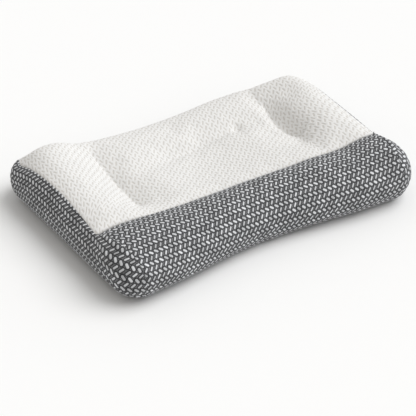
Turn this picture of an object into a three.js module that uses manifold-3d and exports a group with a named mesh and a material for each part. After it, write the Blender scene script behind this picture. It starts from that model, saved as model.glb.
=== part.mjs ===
// An ergonomic pillow: a filled pillow with a white knitted top panel, a thick grey neck roll along
// the front, a grey border round the ends and the back, and a grey underside.
// Millimetres. X runs along the length, Y from the neck roll to the back, Z up. The origin is at the
// middle of the flat underside.
import * as THREE from "three";
import { mergeVertices } from "three/addons/utils/BufferGeometryUtils.js";
import Module from "manifold-3d";

const wasm = await Module();
wasm.setup();

// Driving dimensions
const LENGTH = 700;
const DEPTH = 490;
const CORNER_RADIUS = 60;
const FRONT_WAIST = 27;
const BACK_WAIST = 10;
const DRAWN_IN = { from: 100, by: 44 }; // the right end lies less deep than the left one
const FORWARD = { from: -20, to: 210, by: 8, before: 144, behind: 240 }; // the front seam's right half
const UNDERSIDE_THICKNESS = 30;
const GAP = 0.3;
const WALL_GAP = 0.8; // in plan, because the pieces meet on a leaning wall

// The top panel's seam, in plan
const PANEL = { half: 327.5, front: -101, back: 220, frontBow: 8, backBow: 8, endBow: 6 };
const PANEL_CORNER = { front: 6, back: 30 }; // radii

// Heights of the top panel. A row for each line across the panel, from the front seam to the back
// seam. The columns go from the end seam to the middle, and both halves are alike.
const ACROSS = { seam: 327.5, bolster: 285, slope: 240, channel: 196, pad: 125, middle: 0 };
const RELIEF = [
  { y: -101, seam: 92, bolster: 97, slope: 95, channel: 91, pad: 84, middle: 80 },
  { y: -53, seam: 94, bolster: 100, slope: 93, channel: 74, pad: 74, middle: 68 },
  { y: 37, seam: 98, bolster: 106, slope: 94, channel: 68, pad: 71, middle: 61 },
  { y: 140, seam: 97, bolster: 111, slope: 102, channel: 82, pad: 80, middle: 74 },
  { y: 190, seam: 87, bolster: 107, slope: 105, channel: 87, pad: 78, middle: 71 },
  { y: 220, seam: 78, bolster: 86, slope: 84, channel: 71, pad: 63, middle: 60 },
];

// How the filling lifts the cloth beside the seam that draws it in
const CROWN = { rise: 9, reach: 27 };

// The right bolster is flatter than the left one where it meets the neck roll, and narrower at the back
const FLATTER = { x: 240, width: 92, reach: 70, by: 9 };
const NARROWER = { x: 245, width: 70, from: 60, reach: 70, by: 10 };

// The two sewn channels between the bolsters and the pad, deepest near the neck roll
const CHANNELS = [
  { x: -186, front: -59, back: 203, depth: 15, width: 34 },
  { x: 205, front: -43, back: 203, depth: 15, width: 34 },
];
const CHANNEL = { start: 30, end: 50, fade: 0.6 };

// The stitched line across the middle of the pad
const STITCHING = { x: 31, y: 79, half: 88, width: 42, depth: 9 };

// The border's section at named places round the pillow, in mm, and degrees above level. The cloth
// leaves the top seam at the rise angle, swells, is widest at the girth and tucks in below it.
const BORDER = {
  frontMiddle: { rise: 50, swell: 46, shoulder: 52, girth: 52, tuck: 44 },
  frontEnd: { rise: 34, swell: 52, shoulder: 56, girth: 53, tuck: 46 },
  corner: { rise: 5, swell: 44, shoulder: 48, girth: 52, tuck: 42 },
  end: { rise: -56, swell: 16, shoulder: 12, girth: 50, tuck: 38 },
  endBack: { rise: -56, swell: 14, shoulder: 8, girth: 46, tuck: 38 },
  backEnd: { rise: -54, swell: 14, shoulder: 8, girth: 42, tuck: 38 },
  backMiddle: { rise: -54, swell: 12, shoulder: 4, girth: 34, tuck: 34 },
};

// The left end is fuller, most of all at its back corner
const LEFT_BORDER = {
  ...BORDER,
  end: { rise: -42, swell: 16, shoulder: 24, girth: 50, tuck: 38 },
  endBack: { rise: -8, swell: 22, shoulder: 24, girth: 46, tuck: 38 },
};

// How finely the cloth is divided
const LONG_STEPS = 48;
const END_STEPS = 16;
const CORNER_STEPS = 8;
const SHOULDER_STEPS = 8;
const TUCK_STEPS = 4;
const WALL_STEPS = 3;
const SECTION_POINTS = SHOULDER_STEPS + TUCK_STEPS + WALL_STEPS;
const SIDES = [LONG_STEPS, CORNER_STEPS, END_STEPS, CORNER_STEPS];
const STATIONS = 2 * SIDES.reduce((sum, steps) => sum + steps, 0);

const CORNER_SEAM = 13; // how far round the corner the neck roll reaches at the girth
const STRAIGHT_X = LENGTH / 2 - CORNER_RADIUS;
const STRAIGHT_Y = DEPTH / 2 - CORNER_RADIUS;
const QUARTER_ARC = 0.5523; // arm of the cubic curve that makes a quarter of an ellipse

// A smooth step from 0 to 1
function ease(t) {
  return (1 - Math.cos(Math.PI * THREE.MathUtils.clamp(t, 0, 1))) / 2;
}

// A smooth curve through values at rising knots
function smoothThrough(knots, values, at) {
  const last = knots.length - 1;
  const x = THREE.MathUtils.clamp(at, knots[0], knots[last]);
  const i = Math.min(knots.findLastIndex((k) => k <= x), last - 1);
  const slope = (k) => {
    const before = Math.max(k - 1, 0);
    const after = Math.min(k + 1, last);
    return (values[after] - values[before]) / (knots[after] - knots[before]);
  };
  const span = knots[i + 1] - knots[i];
  const t = (x - knots[i]) / span;
  const rise = t * t * (3 - 2 * t);
  const leave = t * (1 - t) * (1 - t) * slope(i) * span;
  const arrive = t * t * (t - 1) * slope(i + 1) * span;
  return THREE.MathUtils.lerp(values[i], values[i + 1], rise) + leave + arrive;
}

// The front and back seams of the top panel, drawn in at the middle
function frontSeam(x) {
  return PANEL.front + PANEL.frontBow * (1 - ease(Math.abs(x) / PANEL.half));
}

function backSeam(x) {
  return PANEL.back - PANEL.backBow * (1 - ease(Math.abs(x) / PANEL.half));
}

// How far the end seams are drawn in, at a share of their straight length
function endBow(t) {
  return PANEL.endBow * Math.sin(Math.PI * THREE.MathUtils.clamp(t, 0, 1));
}

// Height of the top panel
function panelHeight(x, y) {
  const share = (y - frontSeam(x)) / (backSeam(x) - frontSeam(x));
  const along = THREE.MathUtils.lerp(PANEL.front, PANEL.back, share);
  const columns = Object.keys(ACROSS).reverse();
  const knots = columns.map((name) => ACROSS[name]);
  const lines = RELIEF.map((row) => {
    const heights = columns.map((name) => row[name]);
    return smoothThrough([-knots[1], ...knots], [heights[1], ...heights], Math.abs(x));
  });
  const form = smoothThrough(RELIEF.map((row) => row.y), lines, along);
  return form + crown(x, y) - lower(x, y) - channelDepth(x, y) - stitchingDepth(x, y);
}

function crown(x, y) {
  const toSeam = Math.min(PANEL.half - Math.abs(x), y - frontSeam(x), backSeam(x) - y);
  const inward = THREE.MathUtils.clamp(toSeam / CROWN.reach, 0, 1);
  return CROWN.rise * (1 - (1 - inward) * (1 - inward));
}

// How much lower the right bolster is than the left one
function lower(x, y) {
  const beside = ({ x: middle, width }) => ease(1 - Math.abs(x - middle) / width);
  const front = beside(FLATTER) * ease(1 - (y - frontSeam(x)) / FLATTER.reach);
  const back = beside(NARROWER) * ease((y - NARROWER.from) / NARROWER.reach);
  return FLATTER.by * front + NARROWER.by * back;
}

function channelDepth(x, y) {
  return CHANNELS.reduce((sum, channel) => {
    const side = Math.max(0, 1 - Math.abs(x - channel.x) / channel.width);
    const along = THREE.MathUtils.clamp((y - channel.front) / (channel.back - channel.front), 0, 1);
    const ends = ease((y - channel.front) / CHANNEL.start) * ease((channel.back - y) / CHANNEL.end);
    return sum + channel.depth * side * side * ends * (1 - CHANNEL.fade * along);
  }, 0);
}

function stitchingDepth(x, y) {
  const past = Math.max(0, Math.abs(x - STITCHING.x) - STITCHING.half) / STITCHING.width;
  const aside = Math.abs(y - STITCHING.y) / STITCHING.width;
  return STITCHING.depth * Math.max(0, 1 - Math.hypot(past, aside)) ** 2;
}

// Where a lengthwise share of the front seam lies, moved onto a channel that it is next to
function frontSeamX(t) {
  const half = PANEL.half - PANEL_CORNER.front;
  const x = THREE.MathUtils.lerp(-half, half, t);
  const channel = CHANNELS.find((c) => Math.abs(x - c.x) < half / LONG_STEPS);
  return channel ? channel.x : x;
}

// The same line at the back seam, which ends sooner because its corners are rounder
function backSeamX(x) {
  const halfFront = PANEL.half - PANEL_CORNER.front;
  const halfBack = PANEL.half - PANEL_CORNER.back;
  const past = Math.max(0, Math.abs(x) - ACROSS.slope) / (halfFront - ACROSS.slope);
  return Math.sign(x) * (Math.min(Math.abs(x), ACROSS.slope) + past * (halfBack - ACROSS.slope));
}

// One row of a border table between two named places
function between(table, from, to, t) {
  const share = ease(t);
  const row = {};
  Object.keys(table[from]).forEach((name) => {
    row[name] = THREE.MathUtils.lerp(table[from][name], table[to][name], share);
  });
  return row;
}

// A point on a plan arc, with the direction that faces out of it
function onArc(centreX, centreY, radius, degrees) {
  const angle = THREE.MathUtils.degToRad(degrees);
  const out = new THREE.Vector2(Math.cos(angle), Math.sin(angle));
  return { point: out.clone().multiplyScalar(radius).add(new THREE.Vector2(centreX, centreY)), out };
}

// The stations of the border, anticlockwise from the front left corner seam. Each has its place on
// the top seam and on the girth, the directions that face out there, and its section's row.
function frontStation(t) {
  const x = frontSeamX(t);
  const travelled = (x / frontSeamX(1)) * (STRAIGHT_X + CORNER_SEAM);
  const past = Math.max(0, Math.abs(travelled) - STRAIGHT_X);
  const turned = THREE.MathUtils.radToDeg(past / CORNER_RADIUS) * Math.sign(travelled);
  const straightX = THREE.MathUtils.clamp(travelled, -STRAIGHT_X, STRAIGHT_X);
  const girth = onArc(straightX, -STRAIGHT_Y, CORNER_RADIUS, turned - 90);
  girth.point.y += FRONT_WAIST * (1 - ease(Math.abs(travelled) / STRAIGHT_X));
  return {
    seam: { point: new THREE.Vector2(x, frontSeam(x)), out: new THREE.Vector2(0, -1) },
    girth,
    row: between(BORDER, "frontMiddle", "frontEnd", Math.abs(travelled) / STRAIGHT_X),
  };
}

function frontCornerStation(t, table) {
  const radius = PANEL_CORNER.front;
  const arc = (CORNER_RADIUS * Math.PI) / 2;
  const straight = STRAIGHT_Y + PANEL.front + radius;
  const travelled = THREE.MathUtils.lerp(CORNER_SEAM, arc + straight, t);
  const turned = Math.min(travelled / arc, 1);
  const girth = onArc(STRAIGHT_X, -STRAIGHT_Y, CORNER_RADIUS, 90 * turned - 90);
  girth.point.y += Math.max(0, travelled - arc);
  const seam = onArc(PANEL.half - radius, PANEL.front + radius, radius, 90 * t - 90);
  const toCorner = t < 0.5;
  const row = toCorner ? between(table, "frontEnd", "corner", 2 * t) : between(table, "corner", "end", 2 * t - 1);
  return { seam, girth, row };
}

function endStation(t, table) {
  const front = PANEL.front + PANEL_CORNER.front;
  const seamY = THREE.MathUtils.lerp(front, PANEL.back - PANEL_CORNER.back, t);
  const girthY = THREE.MathUtils.lerp(front, STRAIGHT_Y, t);
  return {
    seam: { point: new THREE.Vector2(PANEL.half - endBow(t), seamY), out: new THREE.Vector2(1, 0) },
    girth: { point: new THREE.Vector2(LENGTH / 2, girthY), out: new THREE.Vector2(1, 0) },
    row: between(table, "end", "endBack", 2 * t - 1),
  };
}

function backCornerStation(t, table) {
  const radius = PANEL_CORNER.back;
  const girth = onArc(STRAIGHT_X, STRAIGHT_Y, CORNER_RADIUS, 90 * t);
  const seam = onArc(PANEL.half - radius, PANEL.back - radius, radius, 90 * t);
  return { seam, girth, row: between(table, "endBack", "backEnd", t) };
}

function backStation(t) {
  const seamX = backSeamX(frontSeamX(1 - t));
  const girthX = (seamX * STRAIGHT_X) / (PANEL.half - PANEL_CORNER.back);
  const outward = ease(Math.abs(girthX) / STRAIGHT_X);
  return {
    seam: { point: new THREE.Vector2(seamX, backSeam(seamX)), out: new THREE.Vector2(0, 1) },
    girth: {
      point: new THREE.Vector2(girthX, DEPTH / 2 - BACK_WAIST * (1 - outward)),
      out: new THREE.Vector2(0, 1),
    },
    row: between(BORDER, "backMiddle", "backEnd", Math.abs(girthX) / STRAIGHT_X),
  };
}

function mirrored(station) {
  const flip = new THREE.Vector2(-1, 1);
  const side = ({ point, out }) => ({ point: point.multiply(flip), out: out.multiply(flip) });
  return { seam: side(station.seam), girth: side(station.girth), row: station.row };
}

function stationAt(index, table = BORDER) {
  const [long, corner, end] = SIDES;
  const i = ((index % STATIONS) + STATIONS) % STATIONS;
  const rightCorner = long + corner;
  const rightEnd = rightCorner + end;
  const backCorner = rightEnd + corner;
  if (i < long) return frontStation(i / long);
  if (i < rightCorner) return frontCornerStation((i - long) / corner, table);
  if (i < rightEnd) return endStation((i - rightCorner) / end, table);
  if (i < backCorner) return backCornerStation((i - rightEnd) / corner, table);
  if (i < backCorner + long) return backStation((i - backCorner) / long);
  return mirrored(stationAt(long - i, LEFT_BORDER));
}

// The point of a station's top seam, of its bottom seam, and of the straight line between them
function topSeam(station) {
  const { x, y } = station.seam.point;
  return new THREE.Vector3(x, y, panelHeight(x, y));
}

function bottomSeam(station) {
  const place = station.girth.point.clone().addScaledVector(station.girth.out, -station.row.tuck);
  return new THREE.Vector3(place.x, place.y, 0);
}

function innerWall(station, height) {
  const top = topSeam(station);
  const share = height / top.z;
  const out = station.girth.out.clone().lerp(station.seam.out, share).normalize();
  return bottomSeam(station).lerp(top, share).addScaledVector(new THREE.Vector3(out.x, out.y, 0), -WALL_GAP);
}

// The closed section of the border at a station, from the top seam out and down to the bottom seam
function borderSection(station) {
  const { rise, swell, shoulder, girth, tuck } = station.row;
  const top = topSeam(station);
  const reach = station.seam.point.distanceTo(station.girth.point);
  const angle = THREE.MathUtils.degToRad(rise);
  const over = new THREE.CubicBezierCurve(
    new THREE.Vector2(0, top.z),
    new THREE.Vector2(swell * Math.cos(angle), top.z + swell * Math.sin(angle)),
    new THREE.Vector2(reach, girth + shoulder),
    new THREE.Vector2(reach, girth),
  );
  const under = new THREE.CubicBezierCurve(
    new THREE.Vector2(0, girth),
    new THREE.Vector2(0, girth * (1 - QUARTER_ARC)),
    new THREE.Vector2(-tuck * (1 - QUARTER_ARC), 0),
    new THREE.Vector2(-tuck, 0),
  );
  const upper = over.getPoints(SHOULDER_STEPS).map((p) => {
    const place = station.seam.point.clone().lerp(station.girth.point, p.x / reach);
    return new THREE.Vector3(place.x, place.y, p.y);
  });
  const lower = under.getPoints(TUCK_STEPS).map((p) => {
    const place = station.girth.point.clone().addScaledVector(station.girth.out, p.x);
    return new THREE.Vector3(place.x, place.y, p.y);
  });
  const wall = Array.from({ length: WALL_STEPS - 1 }, (_, i) => {
    return bottomSeam(station).lerp(top, (i + 1) / WALL_STEPS);
  });
  return [...upper, ...lower.slice(1), ...wall];
}

// The filled pillow lies unevenly: the right end is drawn in towards the back, and the front seam
// lies further forward there
function drawnIn({ x, y, z }) {
  const rightward = ease((x - DRAWN_IN.from) / (PANEL.half - DRAWN_IN.from));
  const forward = ease((x - FORWARD.from) / (FORWARD.to - FORWARD.from));
  const fromSeam = y - PANEL.front;
  const atSeam = Math.max(0, 1 - Math.abs(fromSeam) / (fromSeam < 0 ? FORWARD.before : FORWARD.behind));
  const shift = DRAWN_IN.by * rightward * ease(y / PANEL.back) + FORWARD.by * forward * atSeam;
  return new THREE.Vector3(x, y - shift, z);
}

// Moves every vertex of a closed three.js shape to its place on the pillow, and turns the faces out
function molded(geometry, place) {
  geometry.deleteAttribute("uv");
  geometry.deleteAttribute("normal");
  const shape = mergeVertices(geometry);
  const position = shape.getAttribute("position");
  for (let i = 0; i < position.count; i++) {
    const to = drawnIn(place(new THREE.Vector3().fromBufferAttribute(position, i)));
    position.setXYZ(i, to.x, to.y, to.z);
  }
  const index = shape.getIndex().array;
  const corner = (i) => new THREE.Vector3().fromBufferAttribute(position, index[i]);
  let volume = 0;
  for (let i = 0; i < index.length; i += 3) {
    volume += corner(i).dot(corner(i + 1).cross(corner(i + 2))) / 6;
  }
  if (volume < 0) shape.setIndex([...index].reverse());
  return shape;
}

// The closed strip of border between two stations: a cylinder bent along them
function borderStrip(first, last) {
  const steps = last - first;
  const sections = [];
  for (let i = first; i <= last; i++) {
    const section = borderSection(stationAt(i));
    const travel = stationAt(i + 1).girth.point.sub(stationAt(i - 1).girth.point).normalize();
    const shift = i === first ? GAP / 2 : i === last ? -GAP / 2 : 0;
    sections.push(section.map((p) => p.add(new THREE.Vector3(travel.x, travel.y, 0).multiplyScalar(shift))));
  }
  const tube = new THREE.CylinderGeometry(1, 1, 1, SECTION_POINTS, steps);
  return molded(tube, (v) => {
    const section = sections[Math.round((0.5 - v.y) * steps)];
    if (Math.hypot(v.x, v.z) < 0.5) {
      return section.reduce((sum, p) => sum.add(p), new THREE.Vector3()).divideScalar(SECTION_POINTS);
    }
    const turn = Math.atan2(v.x, v.z) / (2 * Math.PI);
    return section[(Math.round(turn * SECTION_POINTS) + SECTION_POINTS) % SECTION_POINTS];
  });
}

// The top panel's grid: columns along X and rows along Y. Its rim lies on the border's stations.
const COLUMNS = LONG_STEPS + CORNER_STEPS;
const ROWS = END_STEPS + CORNER_STEPS;
const HALF_CORNER = CORNER_STEPS / 2;
const SHRINK = 0.8; // keeps the grid's lower face, cut off afterwards, clear of its own rim

function rimStation(column, row) {
  if (row === 0) return stationAt(column - HALF_CORNER);
  if (column === COLUMNS) return stationAt(COLUMNS - HALF_CORNER + row);
  if (row === ROWS) return stationAt(COLUMNS - HALF_CORNER + ROWS + COLUMNS - column);
  if (column === 0) return stationAt(-HALF_CORNER - row);
  return null;
}

function panelPlace(column, row) {
  const frontX = rimStation(column, 0).seam.point.x;
  const backX = rimStation(column, ROWS).seam.point.x;
  const share = (rimStation(0, row).seam.point.y - PANEL.front) / (PANEL.back - PANEL.front);
  const straightX = THREE.MathUtils.lerp(frontX, backX, THREE.MathUtils.smoothstep(share, 0.5, 1));
  const past = Math.max(0, Math.abs(straightX) - ACROSS.slope) / (PANEL.half - ACROSS.slope);
  const x = straightX - Math.sign(straightX) * past * endBow((row - HALF_CORNER) / END_STEPS);
  return new THREE.Vector2(x, THREE.MathUtils.lerp(frontSeam(x), backSeam(x), share));
}

function topPanel() {
  const grid = new THREE.BoxGeometry(2, 2, 1, COLUMNS, ROWS, WALL_STEPS);
  const filled = molded(grid, (v) => {
    const column = Math.round(((v.x + 1) / 2) * COLUMNS);
    const row = Math.round(((v.y + 1) / 2) * ROWS);
    const rim = rimStation(column, row);
    if (rim) return innerWall(rim, topSeam(rim).z * (v.z + 0.5));
    const place = panelPlace(column, row);
    if (v.z > 0) return new THREE.Vector3(place.x, place.y, panelHeight(place.x, place.y));
    return new THREE.Vector3(place.x * SHRINK, place.y * SHRINK, 0);
  });
  const below = new THREE.BoxGeometry(2 * LENGTH, 2 * DEPTH, 2 * (UNDERSIDE_THICKNESS + GAP));
  return fromSolid(toSolid(filled).subtract(toSolid(below)));
}

function toSolid(geometry) {
  geometry.deleteAttribute("uv");
  geometry.deleteAttribute("normal");
  const shape = mergeVertices(geometry);
  const vertProperties = new Float32Array(shape.getAttribute("position").array);
  const triVerts = new Uint32Array(shape.getIndex().array);
  return new wasm.Manifold(new wasm.Mesh({ numProp: 3, vertProperties, triVerts }));
}

function fromSolid(solid) {
  const mesh = solid.getMesh();
  const geometry = new THREE.BufferGeometry();
  geometry.setAttribute("position", new THREE.BufferAttribute(mesh.vertProperties, 3));
  return geometry.setIndex(new THREE.BufferAttribute(mesh.triVerts, 1));
}

// The underside: a flat disc turned round the middle and drawn out to the bottom seam
function underside() {
  const profile = [[0, 0], [1, 0], [1, 1], [0, 1]].map(([r, z]) => new THREE.Vector2(r, z));
  const disc = new THREE.LatheGeometry(profile, STATIONS);
  return molded(disc, (v) => {
    const height = v.y * UNDERSIDE_THICKNESS;
    if (Math.hypot(v.x, v.z) < 0.5) return new THREE.Vector3(0, 0, height);
    const turn = Math.atan2(v.x, v.z) / (2 * Math.PI);
    return innerWall(stationAt(Math.round(turn * STATIONS)), height);
  });
}

// The pieces, each with its own cloth
function piece(name, geometry, color, roughness) {
  geometry.computeVertexNormals();
  const mesh = new THREE.Mesh(geometry, new THREE.MeshStandardMaterial({ color, roughness, metalness: 0 }));
  mesh.name = name;
  return mesh;
}

const pillow = new THREE.Group();
pillow.add(
  piece("top_panel", topPanel(), 0xf1eee8, 0.95),
  piece("neck_roll", borderStrip(0, LONG_STEPS), 0x77797d, 0.9),
  piece("side_border", borderStrip(LONG_STEPS, STATIONS), 0x66676a, 0.9),
  piece("underside", underside(), 0x5d5e61, 0.95),
);

export default pillow;
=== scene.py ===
import math

import bmesh
import bpy
import numpy as np
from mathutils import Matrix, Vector
from mathutils.bvhtree import BVHTree


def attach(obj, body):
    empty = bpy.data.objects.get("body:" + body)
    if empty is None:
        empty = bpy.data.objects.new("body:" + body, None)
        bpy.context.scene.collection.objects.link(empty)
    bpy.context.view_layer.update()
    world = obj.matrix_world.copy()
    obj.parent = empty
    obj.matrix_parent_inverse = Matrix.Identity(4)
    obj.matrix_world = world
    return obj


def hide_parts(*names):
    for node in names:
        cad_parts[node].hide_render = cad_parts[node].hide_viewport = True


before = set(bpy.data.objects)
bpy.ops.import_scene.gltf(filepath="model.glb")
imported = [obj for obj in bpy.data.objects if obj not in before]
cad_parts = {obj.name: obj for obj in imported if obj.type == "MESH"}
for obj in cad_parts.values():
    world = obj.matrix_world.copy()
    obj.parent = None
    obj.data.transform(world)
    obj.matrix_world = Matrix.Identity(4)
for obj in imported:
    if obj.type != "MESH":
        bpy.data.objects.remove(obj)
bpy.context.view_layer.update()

# The camera
# It looks through a long lens from the front left and above, at the pillow's near side. The angles,
# the distance and the point that it aims at are those that were fitted to the photograph. All
# lengths in this script are in metres.
VIEW_AZIMUTH = math.radians(-33.36)
VIEW_ELEVATION = math.radians(35.08)
VIEW_ANGLE = math.radians(10.84)
VIEW_DISTANCE = 4.434
VIEW_AIM = Vector((-0.0104, -0.0058, -0.0234))

camera = bpy.data.objects.new("camera", bpy.data.cameras.new("camera"))
bpy.context.scene.collection.objects.link(camera)
bpy.context.scene.camera = camera
camera.data.angle = VIEW_ANGLE
backward = Vector((
    math.sin(VIEW_AZIMUTH) * math.cos(VIEW_ELEVATION),
    -math.cos(VIEW_AZIMUTH) * math.cos(VIEW_ELEVATION),
    math.sin(VIEW_ELEVATION),
))
camera.location = VIEW_AIM + backward * VIEW_DISTANCE
camera.rotation_mode = "QUATERNION"
camera.rotation_quaternion = backward.to_track_quat("Z", "Y")
camera.data.clip_end = 100

# The studio
# A white floor in even light from all sides, with one large soft light high on the right, so that
# slopes that face left are a little darker and the shadow on the floor stays faint.
FLOOR_SIZE = 12
FLOOR_COLOUR = (0.93, 0.93, 0.93, 1)
FLOOR_ROUGHNESS = 0.9
FLOOR_SHINE = 0.1
SKY_STRENGTH = 0.62
SKY_SLANT = 0.2
SKY_LEFT = (1.0, 0.96, 0.9, 1)
SKY_RIGHT = (0.955, 0.98, 1.0, 1)
KEY_STRENGTH = 1.74
KEY_SOFTNESS = math.radians(50)
KEY_FROM = Vector((0.52, -0.24, 0.82))

bpy.context.scene.view_settings.view_transform = "Standard"
sky = bpy.data.worlds.new("sky")
bpy.context.scene.world = sky
sky.use_nodes = True
sky_tree = sky.node_tree
sky_place = sky_tree.nodes.new("ShaderNodeTexCoord")
sky_side = sky_tree.nodes.new("ShaderNodeSeparateXYZ")
sky_slant = sky_tree.nodes.new("ShaderNodeMath")
sky_slant.operation = "MULTIPLY_ADD"
sky_slant.inputs[1].default_value = SKY_SLANT
sky_slant.inputs[2].default_value = SKY_STRENGTH
sky_tint = sky_tree.nodes.new("ShaderNodeMix")
sky_tint.data_type = "RGBA"
sky_tint.inputs["A"].default_value = SKY_LEFT
sky_tint.inputs["B"].default_value = SKY_RIGHT
sky_share = sky_tree.nodes.new("ShaderNodeMath")
sky_share.operation = "MULTIPLY_ADD"
sky_share.inputs[1].default_value = 0.5
sky_share.inputs[2].default_value = 0.5
sky_tree.links.new(sky_place.outputs["Generated"], sky_side.inputs[0])
sky_tree.links.new(sky_side.outputs[0], sky_slant.inputs[0])
sky_tree.links.new(sky_side.outputs[0], sky_share.inputs[0])
sky_tree.links.new(sky_share.outputs[0], sky_tint.inputs["Factor"])
sky_tree.links.new(sky_tint.outputs["Result"], sky_tree.nodes["Background"].inputs["Color"])
sky_tree.links.new(sky_slant.outputs[0], sky_tree.nodes["Background"].inputs["Strength"])

key = bpy.data.objects.new("key", bpy.data.lights.new("key", "SUN"))
bpy.context.scene.collection.objects.link(key)
key.data.energy = KEY_STRENGTH
key.data.angle = KEY_SOFTNESS
key.rotation_mode = "QUATERNION"
key.rotation_quaternion = KEY_FROM.to_track_quat("Z", "Y")

floor_form = bmesh.new()
bmesh.ops.create_grid(floor_form, x_segments=1, y_segments=1, size=FLOOR_SIZE / 2)
floor_mesh = bpy.data.meshes.new("floor")
floor_form.to_mesh(floor_mesh)
floor = bpy.data.objects.new("floor", floor_mesh)
bpy.context.scene.collection.objects.link(floor)
floor_paint = bpy.data.materials.new("floor_paint")
floor_paint.use_nodes = True
floor_shader = floor_paint.node_tree.nodes["Principled BSDF"]
floor_shader.inputs["Base Color"].default_value = FLOOR_COLOUR
floor_shader.inputs["Roughness"].default_value = FLOOR_ROUGHNESS
floor_shader.inputs["Specular IOR Level"].default_value = FLOOR_SHINE
floor_mesh.materials.append(floor_paint)

# The neck roll
# A long strip of grey knit, sewn to the top panel along its upper edge and to the underside along
# its lower one, and pressed out by the filling. The ways of laying, filling and closing a piece of
# cloth that every piece uses are made here, with the grey knit itself.
SAME_POINT = 1e-5
CELL = 0.007
FINER = 4
SEAM_TUCK = 0.0016
SEAM_REACH = 0.007
FILLING_MIDDLE = Vector((0, 0, 0.05))
FILLING_PRESSURE = 4
FILLING_FRAMES = 20
SET_IN = 0.003
FREE_AFTER = 0.03
EVENING = 3
CLOTH_EASE = -0.004
CLOTH_MASS = 0.3
CLOTH_STIFFNESS = 8
CLOTH_QUALITY = 6
NECK_PRESSED_OUT = 0.004
STROKE_EDGE = 1.25
SHADES_REACH = 3
SHADES_STOPS = (0.27, 0.4, 0.58, 0.8)
RELIEF_REACH = 1.6
YARN_PITCH = 0.0016
YARN_HEIGHT = 0.08
KNIT_SHINE = 0.25
GREY_WEAVE = {
    "step": 0.011, "repeat": 0.0192, "drift": 0, "height": 0.0008,
    "strokes": (
        {"lean": 1.05, "half": 0.0022, "radius": 0.0023, "along": 0, "across": 0},
        {"lean": -0.8, "half": 0.0032, "radius": 0.0016, "along": 0.0055, "across": 0.0096},
    ),
}


def strip_sections(node):
    """The sections of a strip of the frame, from its left end: a table of points, a row for each
    section, from the upper seam over the cloth to the lower seam."""
    form = bmesh.new()
    form.from_mesh(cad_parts[node].data)
    bmesh.ops.remove_doubles(form, verts=form.verts, dist=SAME_POINT)
    form.verts.index_update()
    most_edges = max(len(v.link_edges) for v in form.verts)
    end = min((v for v in form.verts if len(v.link_edges) == most_edges), key=lambda v: v.co.x)
    seen = {end}
    rings = []
    ahead = {e.other_vert(end) for e in end.link_edges}
    while len(ahead) == most_edges:
        ring = [min(ahead, key=lambda v: v.index)]
        while len(ring) < most_edges:
            near = {e.other_vert(ring[-1]) for e in ring[-1].link_edges}
            ring.append(min(near & ahead - set(ring), key=lambda v: v.index))
        seen |= ahead
        ahead = {e.other_vert(v) for v in ring for e in v.link_edges} - seen
        section = np.array([v.co for v in ring])
        if rings:
            ways = (section, section[::-1])
            turned = [np.roll(way, k, axis=0) for way in ways for k in range(most_edges)]
            section = min(turned, key=lambda way: np.linalg.norm(way - rings[-1], axis=1).sum())
        rings.append(section)
    rings = np.array(rings)
    # The inner wall is the three long spans in a row, and the cloth is the rest of each section
    spans = np.linalg.norm(rings - np.roll(rings, -1, axis=1), axis=2).mean(axis=0)
    wall = int(np.argmax(spans + np.roll(spans, -1) + np.roll(spans, -2)))
    form.free()
    around = np.roll(rings, -wall, axis=1)
    outer = np.concatenate([around[:, 3:], around[:, :1]], axis=1)
    return outer if outer[:, 0, 2].mean() > outer[:, -1, 2].mean() else outer[:, ::-1]


def smooth_step(t):
    """A smooth step from 0 to 1."""
    t = np.clip(t, 0, 1)
    return t * t * (3 - 2 * t)


def smooth_along(points, where):
    """Points on the smooth curve through rows of points, at places counted in rows."""
    padded = np.concatenate([2 * points[:1] - points[1:2], points, 2 * points[-1:] - points[-2:-1]])
    start = np.clip(np.floor(where).astype(int), 0, len(points) - 2)
    t = (where - start).reshape((-1,) + (1,) * (points.ndim - 1))
    before, here, there, after = (padded[start + k] for k in range(4))
    rise = smooth_step(t) * (there - here)
    bend = t * (1 - t) * ((1 - t) * (there - before) - t * (after - here)) / 2
    return here + rise + bend


def travelled(points):
    """How far each row of points is along the cloth from the first row."""
    steps = np.linalg.norm(np.diff(points, axis=0), axis=-1)
    return np.concatenate([np.zeros_like(steps[:1]), np.cumsum(steps, axis=0)])


def travelled_across(points):
    """How far each column of points is across the cloth from the first column."""
    return travelled(points.swapaxes(0, 1)).swapaxes(0, 1)


def evenly(points, spacing):
    """The same cloth with its rows spaced evenly."""
    length = travelled(points).mean(axis=1)
    count = round(length[-1] / spacing)
    places = np.linspace(0, length[-1], count + 1)
    return smooth_along(points, np.interp(places, length, np.arange(len(points))))


def divided(points, spacing):
    """The same cloth with its rows and its columns spaced evenly."""
    return evenly(evenly(points, spacing).swapaxes(0, 1), spacing).swapaxes(0, 1)


def finer(points):
    """The same cloth with each cell divided."""
    for _ in range(2):
        last = len(points) - 1
        points = smooth_along(points, np.linspace(0, last, last * FINER + 1)).swapaxes(0, 1)
    return points


def facing(points):
    """The directions that face out of the filling."""
    normals = np.cross(np.gradient(points, axis=0), np.gradient(points, axis=1))
    normals /= np.linalg.norm(normals, axis=2, keepdims=True) + 1e-12
    return normals if (normals * (points - FILLING_MIDDLE)).sum() > 0 else -normals


def to_nearest(points, others):
    """How far each point is from the nearest of the others."""
    flat = points.reshape(-1, 1, 3)
    nearest = np.full(len(flat), np.inf)
    for part in np.array_split(others, max(1, len(others) // 100)):
        nearest = np.minimum(nearest, np.linalg.norm(flat - part[None], axis=2).min(axis=1))
    return nearest.reshape(points.shape[:2])


def rim_of(points):
    """Marks the points on the four edges of a sheet."""
    rim = np.ones(points.shape[:2], bool)
    rim[1:-1, 1:-1] = False
    return rim


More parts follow.
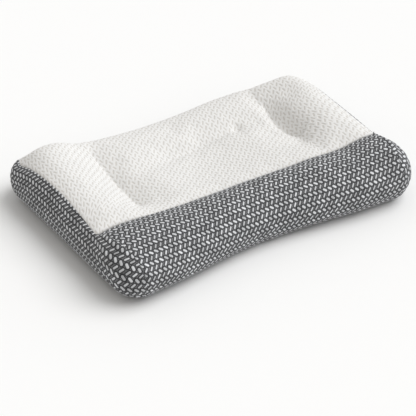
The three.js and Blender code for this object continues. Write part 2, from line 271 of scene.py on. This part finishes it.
def open_cloth(points):
    """A sheet whose vertices lie on a table of points, and each vertex's place in the table."""
    columns, rows = points.shape[0] - 1, points.shape[1] - 1
    form = bmesh.new()
    bmesh.ops.create_grid(form, x_segments=columns, y_segments=rows, size=0.5)
    places = []
    for vertex in form.verts:
        place = round((vertex.co.x + 0.5) * columns), round((vertex.co.y + 0.5) * rows)
        places.append(place)
        vertex.co = points[place]
    form.verts.index_update()
    return form, places


def evened(values):
    """A table of values with each inner one moved halfway to the mean of its neighbours."""
    beside = values[:-2, 1:-1] + values[2:, 1:-1] + values[1:-1, :-2] + values[1:-1, 2:]
    after = values.copy()
    after[1:-1, 1:-1] = values[1:-1, 1:-1] / 2 + beside / 8
    return after


def filled(points, sewn, pressed_out):
    """The cloth as the filling presses it out between its sewn places: Blender's cloth simulation,
    from a slightly smaller shape, and no point is pressed out further than the last value says."""
    ramp = np.clip(to_nearest(points, points[sewn]) / FREE_AFTER, 0, 1)
    free = ramp * (2 - ramp)
    start = points - facing(points) * (SET_IN * free)[..., None]
    form, places = open_cloth(start)
    form.normal_update()
    if sum(f.normal.dot(f.calc_center_median() - FILLING_MIDDLE) for f in form.faces) < 0:
        bmesh.ops.reverse_faces(form, faces=form.faces)
    mesh = bpy.data.meshes.new("filling")
    form.to_mesh(mesh)
    form.free()
    cloth = bpy.data.objects.new("filling", mesh)
    bpy.context.scene.collection.objects.link(cloth)
    group = cloth.vertex_groups.new(name="sewn")
    group.add([i for i, place in enumerate(places) if sewn[place]], 1.0, "REPLACE")
    fill = cloth.modifiers.new("filling", "CLOTH")
    fill.settings.quality = CLOTH_QUALITY
    fill.settings.mass = CLOTH_MASS
    fill.settings.vertex_group_mass = "sewn"
    fill.settings.use_pressure = True
    fill.settings.uniform_pressure_force = FILLING_PRESSURE
    fill.settings.effector_weights.gravity = 0
    fill.settings.shrink_min = CLOTH_EASE
    fill.settings.bending_stiffness = CLOTH_STIFFNESS
    fill.point_cache.frame_start = 1
    fill.point_cache.frame_end = FILLING_FRAMES
    for moment in range(1, FILLING_FRAMES + 1):
        bpy.context.scene.frame_set(moment)
    pressed = cloth.evaluated_get(bpy.context.evaluated_depsgraph_get()).data
    moved = np.zeros(len(pressed.vertices) * 3)
    pressed.vertices.foreach_get("co", moved)
    moved = moved.reshape(-1, 3)
    end = np.zeros_like(start)
    for i, place in enumerate(places):
        end[place] = moved[i]
    bpy.data.objects.remove(cloth)
    bpy.context.scene.frame_set(1)
    outward = facing(start)
    far = np.clip(((end - start) * outward).sum(axis=2), 0, pressed_out * free)
    for _ in range(EVENING):
        far = np.where(sewn, 0, evened(far))
    return start + outward * far[..., None]


def strokes(pattern, weave):
    """How high the knit's strokes stand at places on the flat pattern, from 0 to 1. There are two
    kinds, each in its own rows, and they lean different ways."""
    nearest = np.full(pattern.shape[:2], np.inf)
    for stroke in weave["strokes"]:
        across = pattern[..., 1] - stroke["across"]
        row = np.round(across / weave["repeat"])
        rise = across - row * weave["repeat"]
        shift = pattern[..., 0] - stroke["along"] - row * weave["drift"] - stroke["lean"] * rise
        aside = shift - np.round(shift / weave["step"]) * weave["step"]
        slant = math.hypot(1, stroke["lean"])
        lengthwise = np.abs(stroke["lean"] * aside / slant + rise * slant)
        distance = np.hypot(aside / slant, np.maximum(0, lengthwise - stroke["half"]))
        nearest = np.minimum(nearest, distance / stroke["radius"])
    return np.sqrt(np.clip(1 - (nearest / STROKE_EDGE) ** 2, 0, 1))


def from_rim(points):
    """How far each point is from the nearest edge of its sheet, along the cloth."""
    along, across = travelled(points), travelled_across(points)
    return np.min([along, along[-1:] - along, across, across[:, -1:] - across], axis=0)


def finished(points, pattern, weave):
    """The fine cloth, with its knit raised and its edges tucked into the seams, above the floor."""
    fade = np.clip(from_rim(points) / SEAM_REACH, 0, 1)
    lift = weave["height"] * strokes(pattern, weave) * fade - SEAM_TUCK * (1 - fade) ** 2
    raised = points + facing(points) * lift[..., None]
    raised[..., 2] = np.maximum(raised[..., 2], 0)
    return raised


def strip_pattern(points):
    """Each point's place on the flat pattern of a strip that is stretched a little around its
    corners: how far along the strip its section is, and how far below the upper seam it is."""
    along = travelled(points).mean(axis=1, keepdims=True) + np.zeros(points.shape[:2])
    return np.stack([along, travelled_across(points)], axis=2)


def strip_piece(name, points, pattern, material):
    """A closed strip: the fine cloth, an inner wall from seam to seam, and its two ends."""
    form, places = open_cloth(points)
    last_row = points.shape[1] - 1
    sheet_uv(form, places, pattern)
    rows = {0: [], last_row: []}
    for edge in form.edges:
        first, second = (places[v.index][1] for v in edge.verts)
        if first == second and first in rows:
            rows[first].append(edge)
    bmesh.ops.bridge_loops(form, edges=rows[0] + rows[last_row])
    holes = [e for e in form.edges if e.is_boundary]
    ends = bmesh.ops.holes_fill(form, edges=holes, sides=0)["faces"]
    bmesh.ops.triangulate(form, faces=ends, ngon_method="EAR_CLIP")
    sewn_in(form, name, material)


def sheet_uv(form, places, pattern):
    """Gives the cloth its flat pattern, in metres, as its UV map."""
    layer = form.loops.layers.uv.new("pattern")
    for face in form.faces:
        for loop in face.loops:
            loop[layer].uv = pattern[places[loop.vert.index]]


def sewn_in(form, name, material):
    """The finished piece, in place of its solid in the frame."""
    bmesh.ops.recalc_face_normals(form, faces=form.faces)
    for face in form.faces:
        face.smooth = True
    mesh = bpy.data.meshes.new(name + "_cloth")
    form.to_mesh(mesh)
    form.free()
    piece = bpy.data.objects.new(name + "_cloth", mesh)
    bpy.context.scene.collection.objects.link(piece)
    mesh.materials.append(material)
    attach(piece, "root")
    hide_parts(name)


def figure(tree, operation, *values):
    """A Math node on numbers or other nodes' outputs."""
    node = tree.nodes.new("ShaderNodeMath")
    node.operation = operation
    for socket, value in zip(node.inputs, values):
        if isinstance(value, (int, float)):
            socket.default_value = value
        else:
            tree.links.new(value, socket)
    return node.outputs[0]


def chosen(tree, second, values):
    """The first value, or the second where the switch is 1."""
    mix = tree.nodes.new("ShaderNodeMix")
    tree.links.new(second, mix.inputs["Factor"])
    tree.links.new(values[0], mix.inputs["A"])
    tree.links.new(values[1], mix.inputs["B"])
    return mix.outputs["Result"]


def knit(name, weave, ground, edge_shade, stroke, variation, roughness, sheen, bump):
    """Knitted cloth: strokes in two directions on their ground, each a little lighter or darker
    than the next, with fine yarn in the bump. Round the foot of each raised stroke the colour
    passes through a band of painted shade, and where the strokes are sunk as grooves their own
    colour is painted shade."""
    material = bpy.data.materials.new(name)
    material.use_nodes = True
    tree = material.node_tree
    shader = tree.nodes["Principled BSDF"]
    shader.inputs["Roughness"].default_value = roughness
    shader.inputs["Sheen Weight"].default_value = sheen
    shader.inputs["Specular IOR Level"].default_value = KNIT_SHINE
    place = tree.nodes.new("ShaderNodeUVMap")
    place.uv_map = "pattern"
    split = tree.nodes.new("ShaderNodeSeparateXYZ")
    tree.links.new(place.outputs["UV"], split.inputs[0])
    distances = []
    yarns = []
    chances = []
    for kind, lie in enumerate(weave["strokes"]):
        across = figure(tree, "SUBTRACT", split.outputs[1], lie["across"])
        row = figure(tree, "ROUND", figure(tree, "DIVIDE", across, weave["repeat"]))
        rise = figure(tree, "MULTIPLY_ADD", row, -weave["repeat"], across)
        along = figure(tree, "SUBTRACT", split.outputs[0], lie["along"])
        drifted = figure(tree, "MULTIPLY_ADD", row, -weave["drift"], along)
        shift = figure(tree, "MULTIPLY_ADD", rise, -lie["lean"], drifted)
        column = figure(tree, "ROUND", figure(tree, "DIVIDE", shift, weave["step"]))
        aside = figure(tree, "MULTIPLY_ADD", column, -weave["step"], shift)
        slant = math.hypot(1, lie["lean"])
        beside = figure(tree, "DIVIDE", aside, slant)
        steep = figure(tree, "MULTIPLY", rise, slant)
        lengthwise = figure(tree, "MULTIPLY_ADD", beside, lie["lean"], steep)
        over = figure(tree, "SUBTRACT", figure(tree, "ABSOLUTE", lengthwise), lie["half"])
        past = figure(tree, "MAXIMUM", over, 0.0)
        square = figure(tree, "MULTIPLY_ADD", past, past, figure(tree, "MULTIPLY", beside, beside))
        distances.append(figure(tree, "DIVIDE", figure(tree, "SQRT", square), lie["radius"]))
        yarns.append(lengthwise)
        cell = tree.nodes.new("ShaderNodeCombineXYZ")
        tree.links.new(column, cell.inputs[0])
        tree.links.new(row, cell.inputs[1])
        cell.inputs[2].default_value = kind
        chance = tree.nodes.new("ShaderNodeTexWhiteNoise")
        tree.links.new(cell.outputs[0], chance.inputs["Vector"])
        chances.append(chance.outputs["Value"])
    second = figure(tree, "GREATER_THAN", distances[0], distances[1])
    distance = figure(tree, "MINIMUM", *distances)
    leaning = chosen(tree, second, yarns)
    chance = chosen(tree, second, chances)

    shades = tree.nodes.new("ShaderNodeValToRGB")
    stops = shades.color_ramp.elements
    stops[0].position, stops[0].color = 0.0, stroke
    stops[1].position, stops[1].color = 1.0, ground
    # The colour fades from each stroke through a band of painted shade into the ground.
    for stop, colour in zip(SHADES_STOPS, (stroke, edge_shade, edge_shade, ground)):
        stops.new(stop).color = colour
    tree.links.new(figure(tree, "DIVIDE", distance, SHADES_REACH), shades.inputs[0])
    brightness = tree.nodes.new("ShaderNodeHueSaturation")
    dim = figure(tree, "MULTIPLY_ADD", chance, variation, 1 - variation / 2)
    tree.links.new(dim, brightness.inputs["Value"])
    tree.links.new(shades.outputs[0], brightness.inputs["Color"])
    tree.links.new(brightness.outputs[0], shader.inputs["Base Color"])

    height = figure(tree, "SUBTRACT", 1.0, figure(tree, "MINIMUM", distance, RELIEF_REACH))
    yarn = figure(tree, "SINE", figure(tree, "MULTIPLY", leaning, 2 * math.pi / YARN_PITCH))
    detail = figure(tree, "MULTIPLY_ADD", yarn, YARN_HEIGHT, height)
    relief = tree.nodes.new("ShaderNodeBump")
    relief.inputs["Strength"].default_value = bump
    relief.inputs["Distance"].default_value = weave["height"]
    tree.links.new(detail, relief.inputs["Height"])
    tree.links.new(relief.outputs[0], shader.inputs["Normal"])
    return material


GREY_GROUND = (0.15, 0.152, 0.157, 1)
# Painted shade: the near-black band round the foot of each raised stroke.
GREY_EDGE_SHADE = (0.03, 0.031, 0.034, 1)
GREY_STROKE = (0.60, 0.61, 0.63, 1)
grey_knit = knit(
    "grey_knit", GREY_WEAVE, GREY_GROUND, GREY_EDGE_SHADE, GREY_STROKE,
    variation=0.5, roughness=0.8, sheen=0.1, bump=0.5,
)

neck_sections = strip_sections("neck_roll")
neck = divided(neck_sections, CELL)
neck = finer(filled(neck, rim_of(neck), NECK_PRESSED_OUT))
neck_pattern = strip_pattern(neck)
neck_cloth = finished(neck, neck_pattern, GREY_WEAVE)
strip_piece("neck_roll", neck_cloth, neck_pattern, grey_knit)

# The side border
# A strip of the same grey knit, sewn round the two ends and the back between the top panel and the
# underside, and to the neck roll at its own two ends. Its knit lies straight along each end, up to
# the seam with the neck roll, and is stretched round the back corners.
BORDER_PRESSED_OUT = 0.003
END_FROM = -0.05
END_TO = 0.09


def unrolled(points, pattern, settled):
    """The flat pattern of one end of the border. It is unfolded from the cloth itself, so that
    its rows run on straight to the corner, and turned to agree with the settled columns."""
    form, places = open_cloth(points)
    mesh = bpy.data.meshes.new("unrolled")
    form.to_mesh(mesh)
    form.free()
    mesh.uv_layers.new(name="pattern")
    sheet = bpy.data.objects.new("unrolled", mesh)
    bpy.context.scene.collection.objects.link(sheet)
    bpy.context.view_layer.objects.active = sheet
    bpy.ops.object.mode_set(mode="EDIT")
    bpy.ops.mesh.select_all(action="SELECT")
    bpy.ops.uv.unwrap(method="ANGLE_BASED", margin=0)
    bpy.ops.object.mode_set(mode="OBJECT")
    flat = np.zeros(points.shape[:2], complex)
    for loop, corner in zip(mesh.loops, mesh.uv_layers["pattern"].data):
        flat[places[loop.vertex_index]] = complex(*corner.uv)
    bpy.data.objects.remove(sheet)
    aim = pattern[..., 0] + 1j * pattern[..., 1]
    fits = []
    for side in (flat, flat.conj()):
        centre, aim_centre = side[settled].mean(), aim[settled].mean()
        turn = np.vdot(side[settled] - centre, aim[settled] - aim_centre)
        turn /= np.vdot(side[settled] - centre, side[settled] - centre).real
        fit = (side - centre) * turn + aim_centre
        fits.append((abs(fit - aim)[settled].mean(), fit))
    fit = min(fits, key=lambda pair: pair[0])[1]
    past = np.arange(len(points)) - settled.start
    weight = smooth_step(past / (settled.stop - settled.start - 1))[:, None, None]
    return np.stack([fit.real, fit.imag], axis=2) * (1 - weight) + pattern * weight


border_sections = strip_sections("side_border")
border = divided(border_sections, CELL)
border = filled(border, rim_of(border), BORDER_PRESSED_OUT)
# It runs the other way round the pillow than the neck roll, so its pattern is turned over
border_pattern = strip_pattern(border) * (-1, 1)
for turned in (slice(None), slice(None, None, -1)):
    half, half_pattern = border[turned], border_pattern[turned]
    on_end = np.flatnonzero((half[:, 0, 1] > END_FROM) & (half[:, 0, 1] < END_TO))
    on_end = on_end[on_end < len(half) // 2]
    reach = slice(0, on_end[-1] + 1)
    settled = slice(on_end[0], on_end[-1] + 1)
    half_pattern[reach] = unrolled(half[reach], half_pattern[reach], settled)
border, border_pattern = finer(border), finer(border_pattern)
border_cloth = finished(border, border_pattern, GREY_WEAVE)
strip_piece("side_border", border_cloth, border_pattern, grey_knit)

# The top panel
# One panel of white knit. It is sewn to the neck roll and the border all round, through the filling
# along a channel beside each end bolster, and along a short line in the sunken middle.
WHITE_WEAVE = {
    "step": 0.0148, "repeat": 0.0152, "drift": -0.0018, "height": -0.0006,
    "strokes": (
        {"lean": -0.66, "half": 0.0043, "radius": 0.0015, "along": 0, "across": 0},
        {"lean": 0.175, "half": 0.0034, "radius": 0.0015, "along": 0.0061, "across": 0.0076},
    ),
}
PANEL_EVENING = 2
PANEL_PRESSED_OUT = 0.004
RIM_INSIDE = 0.0008
PANEL_BOTTOM = 0.031
PANEL_BOTTOM_SHARE = 0.93
LEFT_CHANNEL = [(-0.186, 0.176), (-0.186, 0.06), (-0.186, -0.046)]
RIGHT_CHANNEL = [(0.212, 0.142), (0.203, 0.079), (0.200, 0.050), (0.206, 0.018), (0.216, -0.013)]
STITCHED_LINE = [(-0.057, 0.066), (0.119, 0.082)]
BEND_REACH = 0.06
LEFT_CREASE = 0.0045
RIGHT_CREASE = 0.007
CREASE_BACK = 0.4
CREASE_FRONT = 0.08
CREASE_FRONT_SHARE = 0.3
CREASE_BRIGHT = 0.014
CREASE_DARK = 0.045
ROLL_SHARE = 0.4
ROLL_AWAY = 0.022
ROLL_REACH = 0.02
FOLD_BACK = 0.3
FOLD_SHARE = 0.5
FOLD_REACH = 0.0045
STITCH_DEPTH = 0.003
STITCH_REACH = 0.012
DIMPLE_DEPTH = 0.006
DIMPLE_REACH = 0.011
WHITE_GROUND = (0.80, 0.795, 0.785, 1)
# Painted shade: the darker beige-grey of the knit's sunken grooves, on the white ground.
WHITE_GROOVE_SHADE = (0.66, 0.64, 0.61, 1)


def evenly_placed(line, count):
    """A line's points again, as many as asked for and evenly spaced."""
    length = travelled(line)
    places = np.interp(np.linspace(0, length[-1], count), length, np.arange(len(line)))
    return smooth_along(line, places)


def panel_between(front, back, left, right):
    """A sheet between four seams, its rows from the back to the front."""
    s = np.linspace(0, 1, len(front))[:, None, None]
    t = np.linspace(0, 1, len(left))[None, :, None]
    across = back[:, None] * (1 - t) + front[:, None] * t
    along = left[None] * (1 - s) + right[None] * s
    behind = back[0] * (1 - s) + back[-1] * s
    ahead = front[0] * (1 - s) + front[-1] * s
    return across + along - (behind * (1 - t) + ahead * t)


def to_line(points, line):
    """How far each point is from a line in plan, less than 0 on its right-hand side, and how far
    along the line, from 0 to 1."""
    line = np.array(line)
    lengths = np.linalg.norm(np.diff(line, axis=0), axis=1)
    nearest = np.full(points.shape[:2], np.inf)
    place = np.zeros(points.shape[:2])
    for k, (start, length) in enumerate(zip(line, lengths)):
        direction = (line[k + 1] - start) / length
        share = np.clip((points[..., :2] - start) @ direction, 0, length)
        away = points[..., :2] - start - share[..., None] * direction
        side = np.where(direction[0] * away[..., 1] > direction[1] * away[..., 0], 1, -1)
        distance = np.linalg.norm(away, axis=2)
        nearer = distance < np.abs(nearest)
        nearest[nearer] = (side * distance)[nearer]
        place[nearer] = ((lengths[:k].sum() + share) / lengths.sum())[nearer]
    return nearest, place


def bent_onto(sheet, line, across, along):
    """Bends a sheet so that one of its own lines runs along a sewn line."""
    line = np.array(sorted(line, key=lambda point: point[along]))
    miss = np.interp(sheet[..., along], line[:, along], line[:, across]) - sheet[..., across]
    past = np.maximum(line[0, along] - sheet[..., along], sheet[..., along] - line[-1, along])
    held = smooth_step(1 - past / BEND_REACH)
    nearest = int(np.argmin((np.abs(miss) * held).sum(axis=1)))
    away = np.abs(sheet[..., across] - sheet[nearest, :, across])
    sheet[..., across] += (miss * held)[nearest] * smooth_step(1 - away / BEND_REACH)


def crease_strength(place, depth, back):
    """How deep a channel's crease is at places along it. It comes in gently from its back end,
    which is at 0, and is deep almost to its front end."""
    front = smooth_step((1 - place) / CREASE_FRONT + CREASE_FRONT_SHARE)
    return depth * smooth_step(place / back) * front


# The white knit's strokes are sunk as grooves and take the painted shade colour; no shade is
# painted round them.
white_knit = knit(
    "white_knit", WHITE_WEAVE, WHITE_GROUND, WHITE_GROUND, WHITE_GROOVE_SHADE,
    variation=0.06, roughness=0.85, sheen=0.1, bump=0.3,
)

border_seam = border_sections[:, 0]
neck_seam = neck_sections[:, 0]
left_corner = int(np.argmax(border_seam @ (-1, 1, 0)))
right_corner = int(np.argmax(border_seam @ (1, 1, 0)))
columns = round(travelled(neck_seam)[-1] / CELL) + 1
rows = round(travelled(border_seam[:left_corner + 1])[-1] / CELL) + 1
panel = panel_between(
    evenly_placed(neck_seam, columns),
    evenly_placed(border_seam[left_corner:right_corner + 1], columns),
    evenly_placed(border_seam[left_corner::-1], rows),
    evenly_placed(border_seam[right_corner:], rows),
)
panel_form = bmesh.new()
panel_form.from_mesh(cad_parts["top_panel"].data)
surface = BVHTree.FromBMesh(panel_form)
panel_form.free()
bent_onto(panel, LEFT_CHANNEL, across=0, along=1)
bent_onto(panel, RIGHT_CHANNEL, across=0, along=1)
bent_onto(panel.swapaxes(0, 1), STITCHED_LINE, across=1, along=0)
for place in zip(*np.nonzero(~rim_of(panel))):
    above = Vector((panel[place][0], panel[place][1], 1))
    hit = surface.ray_cast(above, Vector((0, 0, -1)))[0]
    if hit:
        panel[place][2] = hit.z
for _ in range(PANEL_EVENING):
    panel[..., 2] = evened(panel[..., 2])
for edge, inner in ((0, 1), (-1, -2)):
    for table in (panel, panel.swapaxes(0, 1)):
        step_in = table[inner] - table[edge]
        table[edge] += step_in / np.linalg.norm(step_in, axis=1, keepdims=True) * RIM_INSIDE
sewn = rim_of(panel)
creases = (LEFT_CHANNEL, LEFT_CREASE), (RIGHT_CHANNEL, RIGHT_CREASE)
for line, depth in creases:
    aside, place = to_line(panel, line)
    dark = np.clip(1 - aside / CREASE_DARK, 0, 1) ** 2
    bright = np.clip(1 + aside / CREASE_BRIGHT, 0, 1) ** 2
    roll = ROLL_SHARE * smooth_step(1 - np.abs(aside + ROLL_AWAY) / ROLL_REACH)
    profile = np.where(aside > 0, dark, bright - roll)
    panel[..., 2] -= crease_strength(place, depth, CREASE_BACK) * profile
    sewn |= np.abs(aside) < CELL / 2
aside, _ = to_line(panel, STITCHED_LINE)
panel[..., 2] -= STITCH_DEPTH * np.clip(1 - np.abs(aside) / STITCH_REACH, 0, 1) ** 2
to_dimple = np.linalg.norm(panel[..., :2] - STITCHED_LINE[1], axis=2)
panel[..., 2] -= DIMPLE_DEPTH * np.exp(-(to_dimple / DIMPLE_REACH) ** 2)
sewn |= np.abs(aside) < CELL / 2
panel = finer(filled(panel, sewn, PANEL_PRESSED_OUT))
for line, depth in creases:
    aside, place = to_line(panel, line)
    fold = FOLD_SHARE * np.exp(-np.abs(aside) / FOLD_REACH)
    panel[..., 2] -= crease_strength(place, depth, FOLD_BACK) * fold
from_left = travelled(panel)
from_middle = from_left - from_left[len(panel) // 2]
panel_pattern = np.stack([from_middle, travelled_across(panel)], axis=2)
panel = finished(panel, panel_pattern, WHITE_WEAVE)

panel_piece, panel_places = open_cloth(panel)
sheet_uv(panel_piece, panel_places, panel_pattern)
rim_edges = [e for e in panel_piece.edges if e.is_boundary]
skirt = bmesh.ops.extrude_edge_only(panel_piece, edges=rim_edges)["geom"]
lower_rim = [v for v in skirt if isinstance(v, bmesh.types.BMVert)]
for vertex in lower_rim:
    vertex.co = vertex.co.x * PANEL_BOTTOM_SHARE, vertex.co.y * PANEL_BOTTOM_SHARE, PANEL_BOTTOM
lower_edges = [e for e in skirt if isinstance(e, bmesh.types.BMEdge) and e.is_boundary]
bottom = bmesh.ops.holes_fill(panel_piece, edges=lower_edges, sides=0)["faces"]
bmesh.ops.triangulate(panel_piece, faces=bottom, ngon_method="EAR_CLIP")
sewn_in(panel_piece, "top_panel", white_knit)

# The underside
# The bottom cloth with the filling above it, flat where the pillow lies. It is a plain, fine grey
# weave, painted darker as shade where the weave dips, and its edge is turned into the seam round
# the bottom.
UNDERSIDE_EDGE = 0.003
UNDERSIDE_COLOUR = (0.11, 0.113, 0.118, 1)
# Painted shade: the colour in the hollows of the weave.
UNDERSIDE_HOLLOW_SHADE = (0.07, 0.072, 0.076, 1)
UNDERSIDE_ROUGHNESS = 0.9
UNDERSIDE_SHINE = 0.2
UNDERSIDE_BUMP = 0.4
YARN = 0.0012

underside_form = bmesh.new()
underside_form.from_mesh(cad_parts["underside"].data)
bmesh.ops.remove_doubles(underside_form, verts=underside_form.verts, dist=SAME_POINT)
bmesh.ops.dissolve_limit(
    underside_form, angle_limit=math.radians(1),
    verts=underside_form.verts, edges=underside_form.edges,
)
bottom_rim = [e for e in underside_form.edges if max(v.co.z for v in e.verts) < SAME_POINT]
bmesh.ops.bevel(
    underside_form, geom=bottom_rim, offset=UNDERSIDE_EDGE, segments=4, profile=0.5,
    affect="EDGES", material=-1,
)
bmesh.ops.triangulate(underside_form, faces=underside_form.faces)
underside_cloth = bpy.data.materials.new("underside_cloth")
underside_cloth.use_nodes = True
under_tree = underside_cloth.node_tree
under_shader = under_tree.nodes["Principled BSDF"]
under_shader.inputs["Roughness"].default_value = UNDERSIDE_ROUGHNESS
under_shader.inputs["Specular IOR Level"].default_value = UNDERSIDE_SHINE
under_place = under_tree.nodes.new("ShaderNodeTexCoord")
under_split = under_tree.nodes.new("ShaderNodeSeparateXYZ")
under_tree.links.new(under_place.outputs["Object"], under_split.inputs[0])
waves = [
    figure(under_tree, "SINE", figure(under_tree, "MULTIPLY", along_axis, math.pi / YARN))
    for along_axis in under_split.outputs[:2]
]
crossing = figure(under_tree, "MULTIPLY", waves[0], waves[1])
# The weave goes to the darker colour where its bump is lowest: painted shade in its hollows.
under_mix = under_tree.nodes.new("ShaderNodeMix")
under_mix.data_type = "RGBA"
under_mix.inputs["A"].default_value = UNDERSIDE_HOLLOW_SHADE
under_mix.inputs["B"].default_value = UNDERSIDE_COLOUR
share = figure(under_tree, "MULTIPLY_ADD", crossing, 0.5, 0.5)
under_tree.links.new(share, under_mix.inputs["Factor"])
under_tree.links.new(under_mix.outputs["Result"], under_shader.inputs["Base Color"])
under_bump = under_tree.nodes.new("ShaderNodeBump")
under_bump.inputs["Strength"].default_value = UNDERSIDE_BUMP
under_bump.inputs["Distance"].default_value = YARN / 4
under_tree.links.new(crossing, under_bump.inputs["Height"])
under_tree.links.new(under_bump.outputs[0], under_shader.inputs["Normal"])
sewn_in(underside_form, "underside", underside_cloth)
